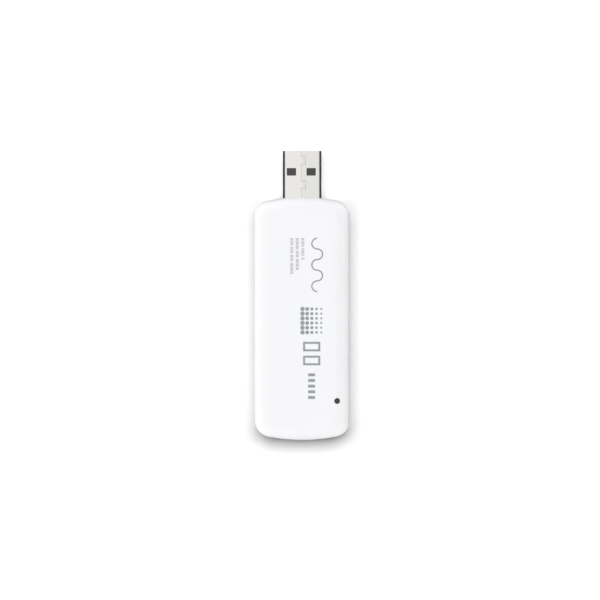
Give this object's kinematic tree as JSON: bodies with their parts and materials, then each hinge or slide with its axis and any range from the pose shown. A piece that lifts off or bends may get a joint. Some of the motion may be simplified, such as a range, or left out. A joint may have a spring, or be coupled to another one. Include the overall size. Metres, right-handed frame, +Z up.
{
  "type": "smart home usb radio stick",
  "caption": "Flat rounded plastic stick with a USB type A plug at one end, a recessed button under a small hole, and a circuit board inside.",
  "frame": {"origin": "middle of the whole outline, on the surface that the stick lies on", "axes": "+Y the way the plug goes in, +Z up out of the printed back cover, +X to the right seen from above"},
  "size_m": [0.0294, 0.0899, 0.011],
  "materials": {
    "casing_plastic": "satin injection-moulded plastic, white",
    "plug_steel": "nickel-plated sheet, satin",
    "carrier_plastic": "moulded black plastic",
    "contact_gold": "gold-plated spring alloy",
    "board_laminate": "glass-fibre laminate with green solder mask",
    "antenna_copper": "copper foil under green solder mask",
    "shield_tin": "tinned sheet",
    "chip_epoxy": "black moulded epoxy",
    "crystal_can": "plated metal lid on ceramic",
    "ceramic_tan": "fired ceramic",
    "resistor_black": "glazed ceramic chip",
    "light_resin": "clear cast resin",
    "switch_plastic": "moulded black plastic",
    "spring_steel": "stainless spring sheet",
    "ink_grey": "pad-printed grey ink"
  },
  "bodies": {
    "stick": {"back_cover": "casing_plastic", "front_cover": "casing_plastic", "plug_shell": "plug_steel", "plug_carrier": "carrier_plastic", "contact_power": "contact_gold", "contact_data_minus": "contact_gold", "contact_data_plus": "contact_gold", "contact_ground": "contact_gold", "circuit_board": "board_laminate", "antenna_trace": "antenna_copper", "shield_frame": "shield_tin", "shield_lid": "shield_tin", "radio_chip": "chip_epoxy", "radio_crystal": "crystal_can", "antenna_filter": "ceramic_tan", "matching_coils": "ceramic_tan", "usb_chip": "chip_epoxy", "usb_crystal": "crystal_can", "voltage_regulator": "chip_epoxy", "surge_protector": "chip_epoxy", "power_inductor": "resistor_black", "capacitors": "ceramic_tan", "resistors": "resistor_black", "memory_chip": "chip_epoxy", "status_light": "light_resin", "switch_base": "switch_plastic", "switch_terminals": "spring_steel", "switch_dome": "spring_steel", "switch_cover": "spring_steel", "printed_marks": "ink_grey"},
    "button": {"switch_stem": "switch_plastic"}
  },
  "joints": [
    {"name": "button_press", "type": "slide", "parent": "stick", "child": "button", "axis": [0, 0, -1], "range_m": [0, 0.00025], "stiffness_N_per_m": 4000, "deforming": ["switch_dome"]}
  ]
}
